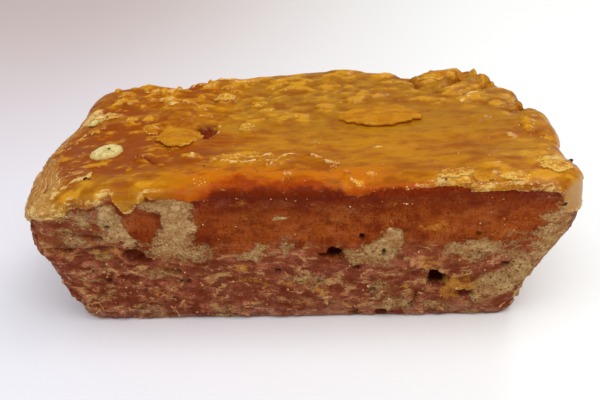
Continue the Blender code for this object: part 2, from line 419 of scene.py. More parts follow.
bm = gridded_box(WALL_CELL, top=False, bottom=False)
for x, z, wide, tall, _ in FRONT_HOLES:
    if max(wide, tall) < 2.4:
        round_hole = [e for e in bm.edges if all(
            v.co.y < -0.49 * DEPTH and abs(v.co.x / MM - x) < wide + 1 and abs(v.co.z / MM - z) < tall + 1
            for v in e.verts)]
        bmesh.ops.subdivide_edges(bm, edges=round_hole, cuts=1, use_grid_fill=True)
for high, steps in ((False, FOOT_STEPS), (True, RIM_STEPS)):
    inset = 0.0
    for step in steps:
        rim = [e for e in bm.edges if e.is_boundary and (e.verts[0].co.z > HEIGHT / 2) == high]
        drawn_in = bmesh.ops.extrude_edge_only(bm, edges=rim)["geom"]
        ring = [v for v in drawn_in if isinstance(v, bmesh.types.BMVert)]
        shrink = [(side / 2 - (inset + step) * MM) / (side / 2 - inset * MM) for side in (LENGTH, DEPTH)]
        bmesh.ops.scale(bm, vec=(*shrink, 1), verts=ring)
        inset += step
    rim = [e for e in bm.edges if e.is_boundary and (e.verts[0].co.z > HEIGHT / 2) == high]
    if high:
        drawn_down = bmesh.ops.extrude_edge_only(bm, edges=rim)["geom"]
        rim = [e for e in drawn_down if isinstance(e, bmesh.types.BMEdge)]
        bmesh.ops.translate(bm, vec=(0, 0, -SUNK), verts=list({v for e in rim for v in e.verts}))
        rim = [e for e in rim if e.is_boundary]
    bmesh.ops.contextual_create(bm, geom=rim)
bmesh.ops.recalc_face_normals(bm, faces=bm.faces)
put(bm, on_block(places(bm)))
wall = places(bm)
wall_out = outward(bm)
height = wall[:, 2] / MM
leftward = -wall[:, 0] / MM
grainwise = wall * ALONG_GRAIN
draw = np.random.default_rng(WALL_SEED)

lower = 1 - smooth(height + 4 * rough(wall, 14 * MM, 2, octaves=2), 22, 38)
left_end = smooth(leftward, 44, 66)
coarseness = np.clip(0.12 + 0.88 * lower + 0.6 * left_end, 0, 1)
ragged = 0.25 * rough(wall, 1.6 * MM, 4, octaves=2)
folds = ledges(wall, 5.5, 7.0)
folding = smooth(rough(grainwise, 12 * MM, 17, octaves=2), -0.1, 0.45) * coarseness
low_left = smooth(leftward - 0.6 * height, -5, 30)
torn = rough(grainwise, 15 * MM, 27, octaves=2) + 0.5 * smooth(10 - height, 0, 8) + 0.5 * low_left
torn = smooth(torn, -0.05, 0.65)
low_spots = np.flatnonzero((height > 1.5) & (height < 27) & (draw.random(len(wall)) < 0.15 + 0.85 * torn))
high_spots = np.flatnonzero((height > 24) & (height < 48))
chosen = np.concatenate((draw.choice(low_spots, LOW_FLAKES), draw.choice(high_spots, HIGH_FLAKES)))
flaked, _, lip = platelets(wall, wall_out, chosen, draw, (1.6, 5.0), (0.5, 1.3), ragged, soft=0.5)
relief = coarseness * (0.3 + 0.7 * torn) * (
    0.7 * rough(grainwise, 4.5 * MM, 3) + 0.3 * rough(wall, 1.5 * MM, 9, octaves=2))
relief += coarseness * torn * 0.9 * (nodules(wall, 2.8 * MM, 5.0) - 0.4)
relief += 0.6 * folding * (0.3 + 0.7 * torn) * (folds - 0.5)
relief += flaked * (0.2 + 0.5 * coarseness) * (0.35 + 0.65 * torn) - 0.5 * coarseness
relief += 0.22 * rough(grainwise, 7 * MM, 23) + 0.07 * rough(wall, 1.4 * MM, 29, octaves=2)

holes = [
    (on_front(wall, (x, z), (wide * SPREAD, tall * SPREAD)), deep) for x, z, wide, tall, deep in FRONT_HOLES]
sides = np.flatnonzero((wall[:, 1] > -30 * MM) & (height > 5) & (height < 42))
for spot in draw.choice(sides, SIDE_HOLES):
    wide, tall, deep = draw.uniform(0.8, 3.0), draw.uniform(0.8, 2.0), draw.uniform(0.8, 3.2)
    reach = (wide * SPREAD, wide * SPREAD, tall * SPREAD)
    holes.append((ball(wall, wall[spot] / MM, reach) ** 0.5, deep))
# Painted shade: the colour is darkened inside the holes and the cracks.
hollow = np.zeros(len(wall))
for inside, deep in holes:
    pit = torn_edge(inside, ragged * 0.5, 0.42, 0.78)
    relief += 0.3 * smooth(inside, 0.05, 0.4) * (1 - pit) - pit * deep
    hollow = np.maximum(hollow, smooth(pit, 0.2, 0.9) * min(1.0, deep / 2.8))
for crack in FRONT_CRACKS:
    away = off_line(-leftward, height, crack) + ragged
    split = np.exp(-(away / 0.6) ** 2) * (wall[:, 1] < FRONT_FROM)
    relief -= 0.8 * split
    hollow = np.maximum(hollow, 0.5 * split)

for middle, reach, deep in NOTCHES:
    relief -= deep * ball(wall, middle, reach) ** 0.5
wander = np.stack([rough(wall, 3.2 * MM, s) for s in (51, 57, 63)], axis=1) * 1.5 * MM
behind = wall[:, 1] > -34 * MM
bloom = patches(wall + wander, FRONT_BLOOM)
hidden = smooth(rough(grainwise, 17 * MM, 21), 0.12, 0.5) * behind
bloom = np.maximum(bloom, hidden * 0.9 * (1 - smooth(height, 40, 46)))
gold = patches(wall + wander, FRONT_GOLD)
hidden = smooth(rough(grainwise, 9 * MM, 35), 0.35, 0.6) * behind
gold = np.maximum(gold, hidden * 0.8)
gold = np.maximum(gold, 2.0 * smooth(height, 47, 51) * smooth(wall[:, 1] / MM, 0, 8))
relief += 0.22 * smooth(bloom, 0.2, 0.6)
lip = lip * (0.3 + 0.7 * coarseness) * (0.5 + 0.5 * torn)
foot = 1 - smooth(height + 1.5 * rough(wall, 6 * MM, 71, octaves=2), 2, 7)
proud = smooth(relief + 0.3 * bloom, -0.7, 1.1)
# Painted shade: the top of the wall, under the skin, is darkened in colour.
under_skin = smooth(height, 36, 55) * smooth(-leftward, -52, -40)

standing = smooth(height, 0.0, 1.2)
wall_at = wall + wall_out * (relief * standing * MM)[:, None]
put(bm, wall_at)

crust, wire = finish_of("red-brown sugar crust")
rough_part = wire.painted("coarse")
mottle = wire.grain(10 * MM, 5, stretch=(1.6, 1.6, 1), shift=1)
patchy = wire.grain(3.0 * MM, 5, stretch=(1.5, 1.5, 1), shift=14)
speckle = wire.grain(0.7 * MM, 3, shift=5, roughness=0.7)
streaks = wire.grain(0.9 * MM, 3, stretch=(1, 1, 6), shift=25)
olive = wire.grain(9 * MM, 4, stretch=(1.8, 1.8, 1), shift=83)
stain = wire.grain(5.0 * MM, 5, stretch=(1.5, 1.5, 1), shift=71, roughness=0.7)
# Pale dusty flecks, more of them on the raised parts: pale dust with a painted highlight on what stands out.
dusty = (patchy * 0.6 + speckle * 0.8 + wire.painted("proud") * 0.35).above(0.86, 1.08)
shady = (1.25 - patchy - wire.painted("proud") * 0.6 + (0.5 - speckle) * 0.6).above(0.46, 0.84)
dark_grains = (0.46 - speckle + (patchy - 0.5) * 0.2).above(0.0, 0.1) * (0.3 + 0.3 * rough_part)
wavering = wire.grain(7 * MM, 4, stretch=(1.8, 1.8, 1), shift=91)
veins = (0.03 - wire.sum("ABSOLUTE", wavering - 0.5)).above(0.0, 0.022) * patchy.above(0.44, 0.56)
gilt = (wire.painted("gold") + (patchy - 0.5) * 1.8 + (speckle - 0.5) * 1.2).above(0.4, 0.9)
frayed = wire.grain(3.2 * MM, 7, stretch=(1.5, 1.5, 1), shift=8, roughness=0.8)
powder = (wire.painted("bloom") + (frayed - 0.5) * 2.0 + (speckle - 0.5) * 0.5).above(0.34, 0.62)
grit = (speckle * 0.7 + patchy * 0.7).above(0.5, 0.9)
powdery = grit.tint((172, 114, 62), (234, 194, 132))
pores = (0.36 - wire.cells(1.5 * MM, 77.0) + (patchy - 0.5) * 0.5).above(0.0, 0.2)
powdery = (pores * (0.25 + rough_part * 0.6)).tint(powdery, (118, 60, 26))
# Painted glints: tiny bright dots scattered over the crust.
sparkle = (0.20 - wire.cells(1.9 * MM, 61.0)).above(0.0, 0.08)
sparkle = sparkle * (mottle * 1.2 + patchy - 1.1).above(0.15, 0.4)
colour = layered(
    (mottle * 0.8 + streaks * 0.4 + speckle * 0.5).above(0.62, 1.06).tint((118, 34, 0), (178, 88, 22)),
    # Painted shade: darker maroon near the top of the wall, under the skin.
    ((wire.painted("glow") * 0.65 + (mottle - 0.5) + (streaks - 0.5) * 0.7).above(0.25, 0.8), (114, 24, 0)),
    ((rough_part * 0.8 + (patchy - 0.5) * 0.8 + (mottle - 0.5) * 1.2).above(0.1, 0.95), (186, 108, 76)),
    ((olive + (patchy - 0.5) * 0.4 + (speckle - 0.5) * 0.4).above(0.5, 0.66) * rough_part * 0.55,
     (198, 146, 82)),
    ((stain + (speckle - 0.5) * 0.6).above(0.50, 0.66) * 0.75, (104, 30, 4)),
    # Pale dust, and a painted highlight on the raised parts.
    (dusty * (0.05 + rough_part * 0.5), (230, 172, 124)),
    (shady * (0.3 + 0.4 * rough_part), (106, 32, 10)),
    (dark_grains, (88, 24, 4)),
    # Pale upper lips of the flakes: paler crust, with a painted highlight where they face up.
    ((wire.painted("lip") + (patchy - 0.5) * 1.3 + (speckle - 0.5) * 0.9).above(0.42, 0.95) * 0.85,
     (242, 194, 128)),
    (veins * rough_part.above(0.2, 0.7) * 0.6, (216, 172, 108)),
    (gilt * 0.65, (206, 140, 44)),
    (wire.painted("foot") * patchy.above(0.3, 0.7) * 0.6, (186, 132, 108)),
    (powder * 0.9, powdery),
    # Painted glints.
    (sparkle * 0.6, (240, 176, 96)),
    # Painted shade inside the holes and cracks.
    (wire.painted("hollow").above(0.05, 0.9), (70, 16, 3)))
crust_bump = speckle * (0.3 + rough_part * 0.5) + patchy * (0.4 + rough_part * 0.4) + powder * grit * 0.4
surface(wire, colour, 0.30 + rough_part * 0.1 + powder * 0.4, 0.03, (0.06, (1.0, 0.35, 0.05), 1.0 * MM),
        Normal=crust_bump.bumped(1.0 * MM))
body = finished("grained_body", bm, crust, coarse=coarseness, lip=lip, bloom=bloom, gold=gold, hollow=hollow,
                glow=under_skin, proud=proud, foot=foot)
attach(body, "root")
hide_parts("jaggery_block")

# --------------------------------------------------
# The skin. The top of the pour dried in the air to a glossy caramel skin. It is blistered and wrinkled,
# rolls over the rim, and ends a little way down the walls in a ragged edge with a few short tongues.

SKIN_CELL = 0.5 * MM
HANG = 15.0 * MM
# Where the skin ends along the front: X, and how far below the rim, in millimetres.
FRONT_EDGE = (
    (-84.5, 4), (-82.5, 3), (-80.5, 0.2), (-77, 0.8), (-74, 1.6), (-71, 2.6), (-69, 1.8), (-67.5, -0.2),
    (-65, -0.2), (-62.5, 1.2), (-58, 1.3), (-56, -0.4), (-53.5, -0.8), (-52.2, 2.4), (-50.8, 5.6),
    (-49, 5.6), (-47, 3.8), (-45.5, 1.4), (-43, 0.2), (-32, 0.2), (-30.5, 1.2), (-28, 0.9), (-25, 0.6),
    (-22.5, 0.4), (-15, 0.4), (-8, 0.4), (-2, 0.7), (3, 0.6), (8, 0.2), (14, 0), (18, 0.9), (22, 0),
    (26, -0.6), (31, -0.8), (36, -0.4), (40, -0.8), (46, -0.9), (52, 0), (58, 0.4), (66, 0.6),
    (75, 0.8), (76.3, 2.5), (77, 7), (78.5, 10), (82, 11.5), (84.5, 11.5),
)
# Wrinkles standing on the top: a run of X and Y, width, rise and how pale, in millimetres.
CRESTS = (
    (((-32, -23), (-27, -25.2), (-22, -28), (-16, -29.6), (-11, -28), (-7.5, -24.3)), 0.8, 1.1, 1),
    (((-8, -31.5), (-5.8, -30), (-3, -26), (1.5, -23.6), (6, -24.6), (11, -29.5), (14.5, -35),
     (19.6, -43.5)), 0.7, 1, 0.85), (((-24, 15), (-18, 12), (-14, 9.5), (-10.5, 8)), 0.6, 0.5, 0.5),
    (((55.2, 11.2), (59, 14), (63.4, 15.6)), 0.9, 0.9, 0.8),
    (((57, -14.5), (60, -16.4), (62, -18)), 0.4, 0.4, 0.7),
    (((50, -27), (54, -25.6), (58, -26.6), (64, -27)), 0.4, 0.35, 0.6),
    (((63, -30), (68, -32), (73, -36), (76, -38)), 0.5, 0.3, 0.3),
    (((42, -41), (44, -38.4), (48, -37), (52, -36)), 0.7, 0.7, 0.6),
    (((56, -39), (60, -40.4), (64, -40.8), (68, -43)), 0.7, 0.6, 0.6),
    (((-80, -36), (-72, -37.5), (-66, -36), (-62, -33)), 0.9, 0.4, 0.4),
    (((-60, -6), (-57, -4), (-54.5, -6.5), (-56, -9)), 0.6, 0.5, 0.15),
    (((-22, -24), (-16, -21), (-9, -22)), 0.8, 0.3, 0),
    (((-75, -41), (-71, -38), (-66.5, -34.5), (-62.5, -33.5)), 1.8, 0.5, 0.85),
    (((-29, 1.5), (-27.2, -1.5), (-26.4, -5), (-27.4, -9)), 0.6, 0.7, 0.6),
    (((-12, -25.5), (-8, -27.5), (-3, -27)), 2, 0.3, 0.45),
    (((-47, 15), (-44, 18.4), (-41.5, 19)), 0.8, 0.7, 0.75),
    (((-79, -24), (-77, -12), (-74, 2)), 0.7, 0.5, 0.7),
)
# Clefts of the top, between the lobes at its right: a run of X and Y, width and depth, in millimetres.
CLEFTS = (
    (((61, 45), (60, 37), (57, 31), (51, 25)), 1.8, 3),
    (((73, 34), (68.5, 29.5), (63, 22), (57, 18)), 1.3, 1.8),
    (((77.5, 9.5), (74.5, 6.5), (71, 4)), 2, 1.6), (((-47, 44), (-46, 38), (-44, 32)), 2.2, 1.2),
    (((39, 42), (38, 34), (41, 28)), 1.8, 1.6), (((-50, -22.5), (-46.5, -23.8), (-44, -26)), 0.7, 0.9),
    (((39, 27), (44, 23), (49, 20)), 1.2, 1.4),
)
# Lumps standing on the top: X, Y, half length, half width, rise, how golden and how pale.
TOP_LUMPS = (
    (-43, 8, 6.5, 9, 1.5, 0.15, 0), (48, 31, 10, 7.5, 0.9, 0.35, 0), (50, 33, 7, 3.6, 0.7, 0.9, 0.3),
    (66.5, 34, 4.4, 6.5, 2.4, 0.1, 0), (66, 18, 8, 9, 0.6, 0.1, 0), (78, -6, 5, 11, 0.9, 0.05, 0),
    (73.4, -7.5, 1.8, 6, 0.5, 0.75, 0.2), (59.4, -1.3, 3.4, 2.4, 0.8, 0.35, 0),
    (-17.2, -2.8, 3, 3.4, 1.2, 0.9, 0.5), (-28, 19.5, 3.8, 5, 1.5, 0.8, 0.5),
    (-15.5, 14, 2.8, 1.4, 0.7, 0.8, 0.5), (-9.2, 34, 2, 2.2, 0.6, 0.9, 0.5),
    (28.2, 19.5, 2.4, 2.2, 0.6, 0.5, 0.35), (30.8, 36, 3.6, 3.2, 0.7, 0.9, 0.4),
    (15.5, 41, 6.5, 3.4, 0.5, 0.9, 0.4), (-29.7, 38, 5, 2.6, 0.6, 0.9, 0.5),
    (-61.5, 38, 2.2, 2.2, 0.5, 0.8, 0.5), (-50, 27, 6.5, 3, 0.8, 0.7, 0.1),
    (-68.4, 24, 3.6, 1.8, 0.5, 0.8, 0.45), (-41, 27, 3.5, 2.4, 0.7, 0.3, 0),
    (-30, 34, 5, 3, 0.8, 0.5, 0.1), (-48.4, -22.5, 3.6, 3.4, 0.9, 0.3, 0.2),
    (-63, 4, 5.5, 3, 0.7, 0.2, 0), (-68.7, -4.2, 4, 2, 0.5, 0.5, 0.3), (-53, 5, 3, 2.6, 0.8, 0.8, 0.1),
    (47, -41, 5, 3.4, 1, 0.9, 0.2), (-64, -40, 15, 5, 0.8, 0.4, 0), (-17, -24, 9, 4.5, 0.3, 0.6, 0.2),
    (0, -40, 16, 7, 1.2, 0.1, 0), (-20, -38, 12, 6, 0.8, 0.1, 0), (22.9, -37, 1.6, 1.4, 0.4, 0.8, 0.4),
    (19.5, -41, 1.6, 1.6, 0.4, 0.8, 0.4), (33.1, -44, 1.4, 1.2, 0.4, 0.9, 0.5),
)
# The pale crusted places of the top, as X, Y, half length, half width and strength.
TOP_PALE = (
    (-76.5, 15.5, 4.2, 5.5, 0.95), (-66.5, -22.5, 4, 2, 0.5), (-69, 14, 3.4, 2.2, 0.6),
    (-69, -30, 7, 6, 0.5), (-71, -20, 3, 8, 0.45), (-73, -38, 8, 4, 0.5), (77, -33, 4.5, 4.2, 0.8),
    (49, -40.5, 5, 3, 0.62), (64, -43, 5, 1.6, 0.55), (73, -44, 6, 1.4, 0.45), (-15, -25, 9, 4, 0.48),
    (11, -31, 2.6, 3.4, 0.5), (-27, -26, 3.5, 2, 0.4), (26, -43, 5, 2, 0.35), (67.2, -13.9, 2, 3, 0.6),
    (58.4, -24.5, 6, 1.2, 0.5), (60, 16.5, 2.6, 1.2, 0.9), (25.7, -18.9, 1.4, 1, 0.8),
    (5.1, -14.6, 1.6, 2.2, 0.6), (-66.6, 11.3, 4, 1.4, 0.9), (-50.5, -1.8, 3.4, 2.2, 0.7),
    (-1.4, -37.6, 1.6, 0.9, 0.6),
)
# Where the skin is deepest in colour, and where it is dulled: X, Y, half length, half width and strength.
DEEP_PLACES = ((-58, -16, 40, 32, 0.95), (-62, 22, 34, 26, 0.5))
DULLED_PLACES = ((-68, -42, 34, 12, 0.9), (64, -24, 26, 20, 0.7))
# The notch between two lobes at the right, a long scar and a glassy place: X and Y, and half sizes.
NOTCH, SCAR, GLASSY = ((82, 12), (9, 8.5)), ((-31.2, -3.6), (5, 9.5)), ((-1, -41), (3.2, 3.2))
# Where the skin lies calm: middle and reach.
CALM_PLACES = ((36, -12), (46, 32)), ((-14, -14), (26, 20))
BACK_BLISTERS, BLISTERS = 120, 70
TOP_FROM = 38 * MM


def on_top(where, middle, reach):
    """The root of ball, for a patch of the top given along X and Y only."""
    return (ball(where[:, :2], middle, reach) * (where[:, 2] > TOP_FROM)) ** 0.5


def ovals(where, places_of):
    """The strongest of some ovals of the top, at each place."""
    return np.max([on_top(where, oval[:2], oval[2:4]) * oval[4] for oval in places_of], axis=0)


bm = gridded_box(SKIN_CELL, top=True, bottom=False)
bmesh.ops.delete(bm, geom=[v for v in bm.verts if v.co.z < HEIGHT - HANG], context="VERTS")
flat = places(bm)
put(bm, on_block(flat))
base = places(bm)
skin_out = outward(bm)
x, y = base[:, 0] / MM, base[:, 1] / MM
sunk = (HEIGHT - flat[:, 2]) / MM
inward = np.minimum(LENGTH / 2 - abs(flat[:, 0]), DEPTH / 2 - abs(flat[:, 1])) / MM
beyond = np.where(flat[:, 2] > HEIGHT - HAIR, -inward, sunk)
front = smooth(-y, 30, 36) * (abs(flat[:, 1]) > DEPTH / 2 - 8 * MM)
hang = 1.2 + 2.5 * smooth(-x, 80, 82) + 1.6 * rough(base, 9 * MM, 31)
hang += 6 * smooth(x, 28, 36) * smooth(y, 20, 32)
along = x + 0.8 * rough(base, 2.6 * MM, 36)
hang = hang + (np.interp(along, *zip(*FRONT_EDGE)) - hang) * front
hang += 0.4 * rough(base, 3.0 * MM, 33) + 0.4 * rough(base, 1.1 * MM, 34, octaves=2)
margin = hang - beyond

ragged = 0.25 * rough(base, 1.8 * MM, 44, octaves=2)
calm = np.max([ball(base[:, :2], *oval) for oval in CALM_PLACES], axis=0) ** 0.5
busy = 1 - 0.85 * smooth(calm, 0.1, 0.6)
spots = np.flatnonzero((flat[:, 2] > HEIGHT - HAIR) & (draw.random(len(flat)) < busy))
back_spots = spots[y[spots] > -2]
chosen = np.concatenate((draw.choice(back_spots, BACK_BLISTERS), draw.choice(spots, BLISTERS)))
blisters, lip, brink = platelets(
    base, skin_out, chosen, draw, (3.0, 10.0), (0.4, 1.3), ragged, soft=0.55, askew=0.4, lean=math.pi)
middling = rough(base * np.array((0.6, 1, 1)), 3.2 * MM, 43.0)
wrinkled = smooth(-x, 0, 30) * smooth(y, -14, 0)
by_rim = (0.12 + 0.88 * smooth(inward, 2, 9)) * (1 - 0.6 * smooth(x, 54, 68))
flaking = by_rim * (0.1 + 0.9 * busy + 0.5 * wrinkled) * smooth(margin, 1, 5)
flaking *= 1 - 0.85 * smooth(x, 54, 60) * smooth(y, 18, 26)
rise = blisters * flaking + 0.5 * rough(base * np.array((0.5, 1, 1)), 9 * MM, 41.0)
rise += 0.24 * (busy + wrinkled) * by_rim * middling
rise += 0.05 * rough(base * np.array((0.3, 1, 1)), 1.4 * MM, 46.0, octaves=2)
golden = lip * (0.45 * busy + 0.3 * wrinkled) * (1 - 0.85 * smooth(-y, 22, 30))
pale = brink * flaking * 0.5
chips = smooth(-x, 60, 68) * np.exp(-((beyond - 0.4) / 1.8) ** 2)
pale = np.maximum(pale, 0.85 * (chips * smooth(rough(base, 5 * MM, 66), -0.25, 0.2)))
clear = 1.5 * smooth(24 - abs(x + 5), 0, 10) * front
# Deep red towards the skin's edge; the clefts and the scar below add painted shade to the same mask.
rust = smooth(clear - margin - 0.6 * middling, -1.3, 0.9) * (1 - 0.85 * smooth(abs(x - 3), 30, 40) * front)
deep = ovals(base, DEEP_PLACES) * (1 - smooth(-y, 30, 38))
nose = smooth(-y, 26, 36) * smooth(36 - abs(x + 2), -12, 14)
redder = smooth(22 - abs(x + 7), 0, 12)
edge = smooth(3.4 + 3.2 * redder + middling - margin, 0, 4) * (1 - 0.85 * smooth(abs(x - 3), 32, 42)) * front
proud = smooth((blisters + 0.75 * middling + 0.3 * ragged) * busy, -0.55, 0.95)
for lx, ly, half, wide, up, gilt, cream in TOP_LUMPS:
    lump = torn_edge(on_top(base, (lx, ly), (half * 1.3, wide * 1.3)), ragged, 0.15, 0.85)
    rise += up * lump
    golden = np.maximum(golden, gilt * lump)
    pale = np.maximum(pale, cream * smooth(lump, 0.5, 1))
for line, width, up, cream in CRESTS:
    away = abs(off_line(x, y, line)) + ragged * 1.6 + 0.5 * middling
    strength = smooth(rough(base, 4.0 * MM, width * 90, octaves=2), -0.6, 0.3)
    ridge = np.exp(-(away / (width * (0.5 + 0.8 * strength))) ** 2) * (0.25 + 0.75 * strength)
    rise += up * ridge
    pale = np.maximum(pale, cream * smooth(ridge, 0.35, 0.9))
    golden = np.maximum(golden, 0.6 * cream * np.exp(-(away / (width * 2.2)) ** 2))
# The clefts are sunk, and darkened in colour as painted shade.
for line, width, down in CLEFTS:
    cleft = np.exp(-((abs(off_line(x, y, line)) + ragged * 1.6) / width) ** 2)
    rise -= down * cleft
    rust = np.maximum(rust, 0.7 * cleft)
shelf = off_line(x, y, CRESTS[1][0])
rise -= 0.7 * smooth(-shelf, 0, 3) * (1 - smooth(-shelf, 6, 14)) * smooth(22 - abs(x - 2), 0, 8)
for px, py, half, wide, strength in TOP_PALE:
    patch = on_top(base, (px, py), (half * 1.5, wide * 1.5)) * strength
    pale = np.maximum(pale, patch)
    rise += 0.35 * smooth(patch, 0.3, 0.6)
narrowing = 8 * smooth(y, -32, -12)
by_left = smooth(-x + 2 * middling - narrowing, 67, 76) * smooth(16 - y, 0, 8)
lipped = smooth(-x, 58, 66) * smooth(beyond, -2.4, -0.2) * smooth(-y, 20, 34)
strata = np.maximum(by_left, lipped)
shells = -beyond / 2.0 + 1.3 * rough(base * np.array((1, 0.6, 1)), 7 * MM, 61.0)
shells = shells + 0.5 * middling + 0.3 * ragged
layer = shells % 1
rise += strata * 0.9 * (np.where(layer < 0.7, layer / 0.7, (1 - layer) / 0.3) - 0.5)
corner = smooth(x, 75, 79) * smooth(-y, 26, 34) * smooth(beyond, -2, 1)
dull = np.maximum(corner, 0.8 * by_left)
rise -= 6.5 * smooth(on_top(base, *NOTCH), 0.0, 0.6)
# The scar is sunk, and darkened in colour as painted shade in it.
scar = torn_edge(on_top(base, *SCAR), 1.4 * ragged, 0.35, 0.8)
rise -= 2.6 * scar
rust = np.maximum(rust, scar)
glassy = torn_edge(on_top(base, *GLASSY), ragged, 0.35, 0.8)
rise -= 0.5 * glassy
rust = np.maximum(rust, glassy * 0.5)
# Paler, duller tone over the back of the top: a painted sheen of the bright room, with the duller places of
# DULLED_PLACES.
haze = np.maximum(smooth(y, -28, 8) * smooth(x, -46, -10), ovals(base, DULLED_PLACES))

sunken = -0.9 + 1.3 * smooth(margin, -0.6, 0.7) - 3.2 * smooth(-margin, 1.2, 7)
edge_lip = 0.25 * np.exp(-((margin - 1.0) / 0.9) ** 2)
shown = smooth(margin, -1.0, 0.5)
upward = skin_out * np.array((0.4, 0.5, 1))
skin_at = base + (skin_out * (sunken + edge_lip)[:, None] + upward * (rise * shown)[:, None]) * MM
put(bm, skin_at)
bmesh.ops.contextual_create(bm, geom=[e for e in bm.edges if e.is_boundary])
bmesh.ops.recalc_face_normals(bm, faces=bm.faces)
along_rim = (abs(margin - 0.9) < 1.1) * (0.45 + 0.55 * smooth(abs(x + 2), 32, 44) * (y < -20))
pale = np.maximum(pale, along_rim * 0.6 * front)

caramel, wire = finish_of("caramel skin")
mottle = wire.grain(12 * MM, 5, stretch=(2.0, 1, 1), shift=3)
patchy = wire.grain(3.6 * MM, 4, stretch=(1.8, 1, 1), shift=13)
drawn = wire.grain(1.3 * MM, 4, stretch=(5.0, 1, 1), shift=7)
flecks = wire.grain(1.0 * MM, 4, stretch=(1.4, 1, 1), shift=17, roughness=0.7)
honeyed = (mottle * 1.1 + patchy * 0.4 + drawn * 0.5 - wire.painted("deep") * 0.5).above(0.6, 1.2)
proud_part = wire.painted("proud")
lit = (patchy * 0.6 + flecks * 0.4 + proud_part * 0.5 - wire.painted("nose") * 0.3).above(0.68, 0.95)
# Darker and redder towards the skin's front edge.
burnt = wire.painted("edge") + (flecks - 0.5) * 1.3 + (patchy - 0.5) * 0.8
tanned = (wire.painted("dull") + (patchy - 0.5) * 0.6).above(0.3, 0.85)
chalk = wire.painted("pale") + (flecks - 0.5) * 1.3 + (drawn - 0.5) * 1.2 + (patchy - 0.5) * 0.5
chalk = chalk.above(0.46, 0.88)
layer = wire.sum("FRACT", wire.painted("shells") + (flecks - 0.5) * 0.3)
in_strata = wire.painted("strata").above(0.3, 0.8)
brinks = layer.above(0.52, 0.62) * (1 - layer.above(0.7, 0.8)) * in_strata
brinks = brinks * (patchy + (drawn - 0.5) * 0.5).above(0.42, 0.54)
# Dark lines in the gaps between the layers: painted shade.
creases = layer.above(0.8, 0.86) * (1 - layer.above(0.9, 0.98)) * in_strata
colour = layered(
    honeyed.tint((150, 70, 0), (194, 128, 4)),
    ((wire.painted("nose") * 0.75 + (mottle - 0.5) * 0.9).above(0.15, 0.95), (200, 110, 2)),
    # Painted sheen at the back, and the duller places.
    ((wire.painted("haze") * 0.65 + (mottle - 0.5)).above(0.1, 0.9), (166, 114, 22)),
    (lit * 0.65, (222, 158, 30)),
    # Painted shade: darker in the low places between the blisters.
    ((1.2 - patchy - proud_part * 0.6 + (drawn - 0.5) * 0.5).above(0.46, 0.80) * 0.65, (144, 66, 2)),
    (burnt.above(0.05, 0.7), (180, 82, 2)),
    (burnt.above(0.55, 1.15), (152, 56, 0)),
    # Deep red of the skin's edge and glassy place, with painted shade in the clefts and the scar.
    ((wire.painted("rust") + (flecks - 0.5) * 0.7).above(0.15, 0.95), (112, 34, 0)),
    ((wire.painted("golden") + (flecks - 0.5) * 1.2 + (patchy - 0.5) * 0.6).above(0.4, 1.05),
     (226, 160, 32)),
    (tanned * 0.8, (192, 142, 74)),
    (chalk * 0.85, (232, 198, 122)),
    (brinks * 0.55, (238, 206, 142)),
    (creases * flecks.above(0.4, 0.55) * 0.7, (112, 52, 8)))
skin_bump = (flecks * 0.4 + drawn * 0.2 + patchy * 0.7 + brinks * 0.2).bumped(0.8 * MM)
surface(wire, colour, 0.14 + flecks * 0.2 + chalk * 0.3, 0.05, (0.12, (1.0, 0.4, 0.02), 1.5 * MM),
        Normal=skin_bump, Coat_Roughness=0.10,
        Coat_Weight=0.18 - wire.painted("nose") * 0.10 - wire.painted("edge") * 0.06)
skin = finished("caramel_skin", bm, caramel, golden=golden, pale=pale, rust=rust, haze=haze, deep=deep,
                nose=nose, proud=proud, edge=edge, dull=dull, strata=strata, shells=shells)
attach(skin, "root")
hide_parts("jaggery_block")

# --------------------------------------------------
# Scabs and flakes of the skin. Where the skin dried twice, thin ragged flakes of it lie on the top, stuck
# down at the back and lifted at the front: a big round scab, a long clear flake and small ones on the rim.

# X and Y of the middle, half length and width, turn in degrees, lift, thickness, raggedness, paleness, dome.
FLAKES = (
    (-39.2, -8.6, 7.6, 7.8, 6, 0.9, 0.8, 0.16, 0.12, 1.0),
    (-49.6, -2.6, 3.2, 2.8, -35, 0.1, 0.4, 0.38, 0.38, 0.0),
    (27.0, 4.0, 14.0, 7.6, 3, 1.0, 0.9, 0.17, 0.0, 0.8),
    (-17.2, -3.2, 2.8, 2.4, 20, 0.4, 0.6, 0.24, 0.50, 0.2),
    (-27.8, 19.0, 3.4, 3.2, 0, 0.6, 0.9, 0.28, 0.60, 0.3),
    (47.5, -39.4, 5.4, 3.2, 12, 0.5, 0.6, 0.26, 0.64, 0.3),
    (55.4, -40.4, 3.4, 2.6, -10, 0.3, 0.5, 0.28, 0.25, 0.2),
    (63.4, -41.0, 4.0, 2.0, -10, 0.3, 0.4, 0.28, 0.72, 0.0),
    (75.6, -34.6, 4.8, 4.8, -8, 0.4, 0.6, 0.24, 0.68, 0.3),
    (-67.0, 11.6, 3.6, 1.6, 10, 0.2, 0.4, 0.38, 0.60, 0.0),
    (49.0, 33.0, 6.0, 3.2, 4, 0.1, 0.6, 0.26, 0.34, 0.3),
)
FLAKE_CELLS = 30


def surface_of(piece):
    """The piece's surface, for laying others on."""
    bm = bmesh.new()
    bm.from_mesh(piece.data)
    tree = BVHTree.FromBMesh(bm)
    bm.free()
    return tree


def height_on(tree, x, y):
    hit = tree.ray_cast(Vector((x, y, 0.1)), Vector((0, 0, -1)))[0]
    return hit.z if hit else HEIGHT - 8 * MM


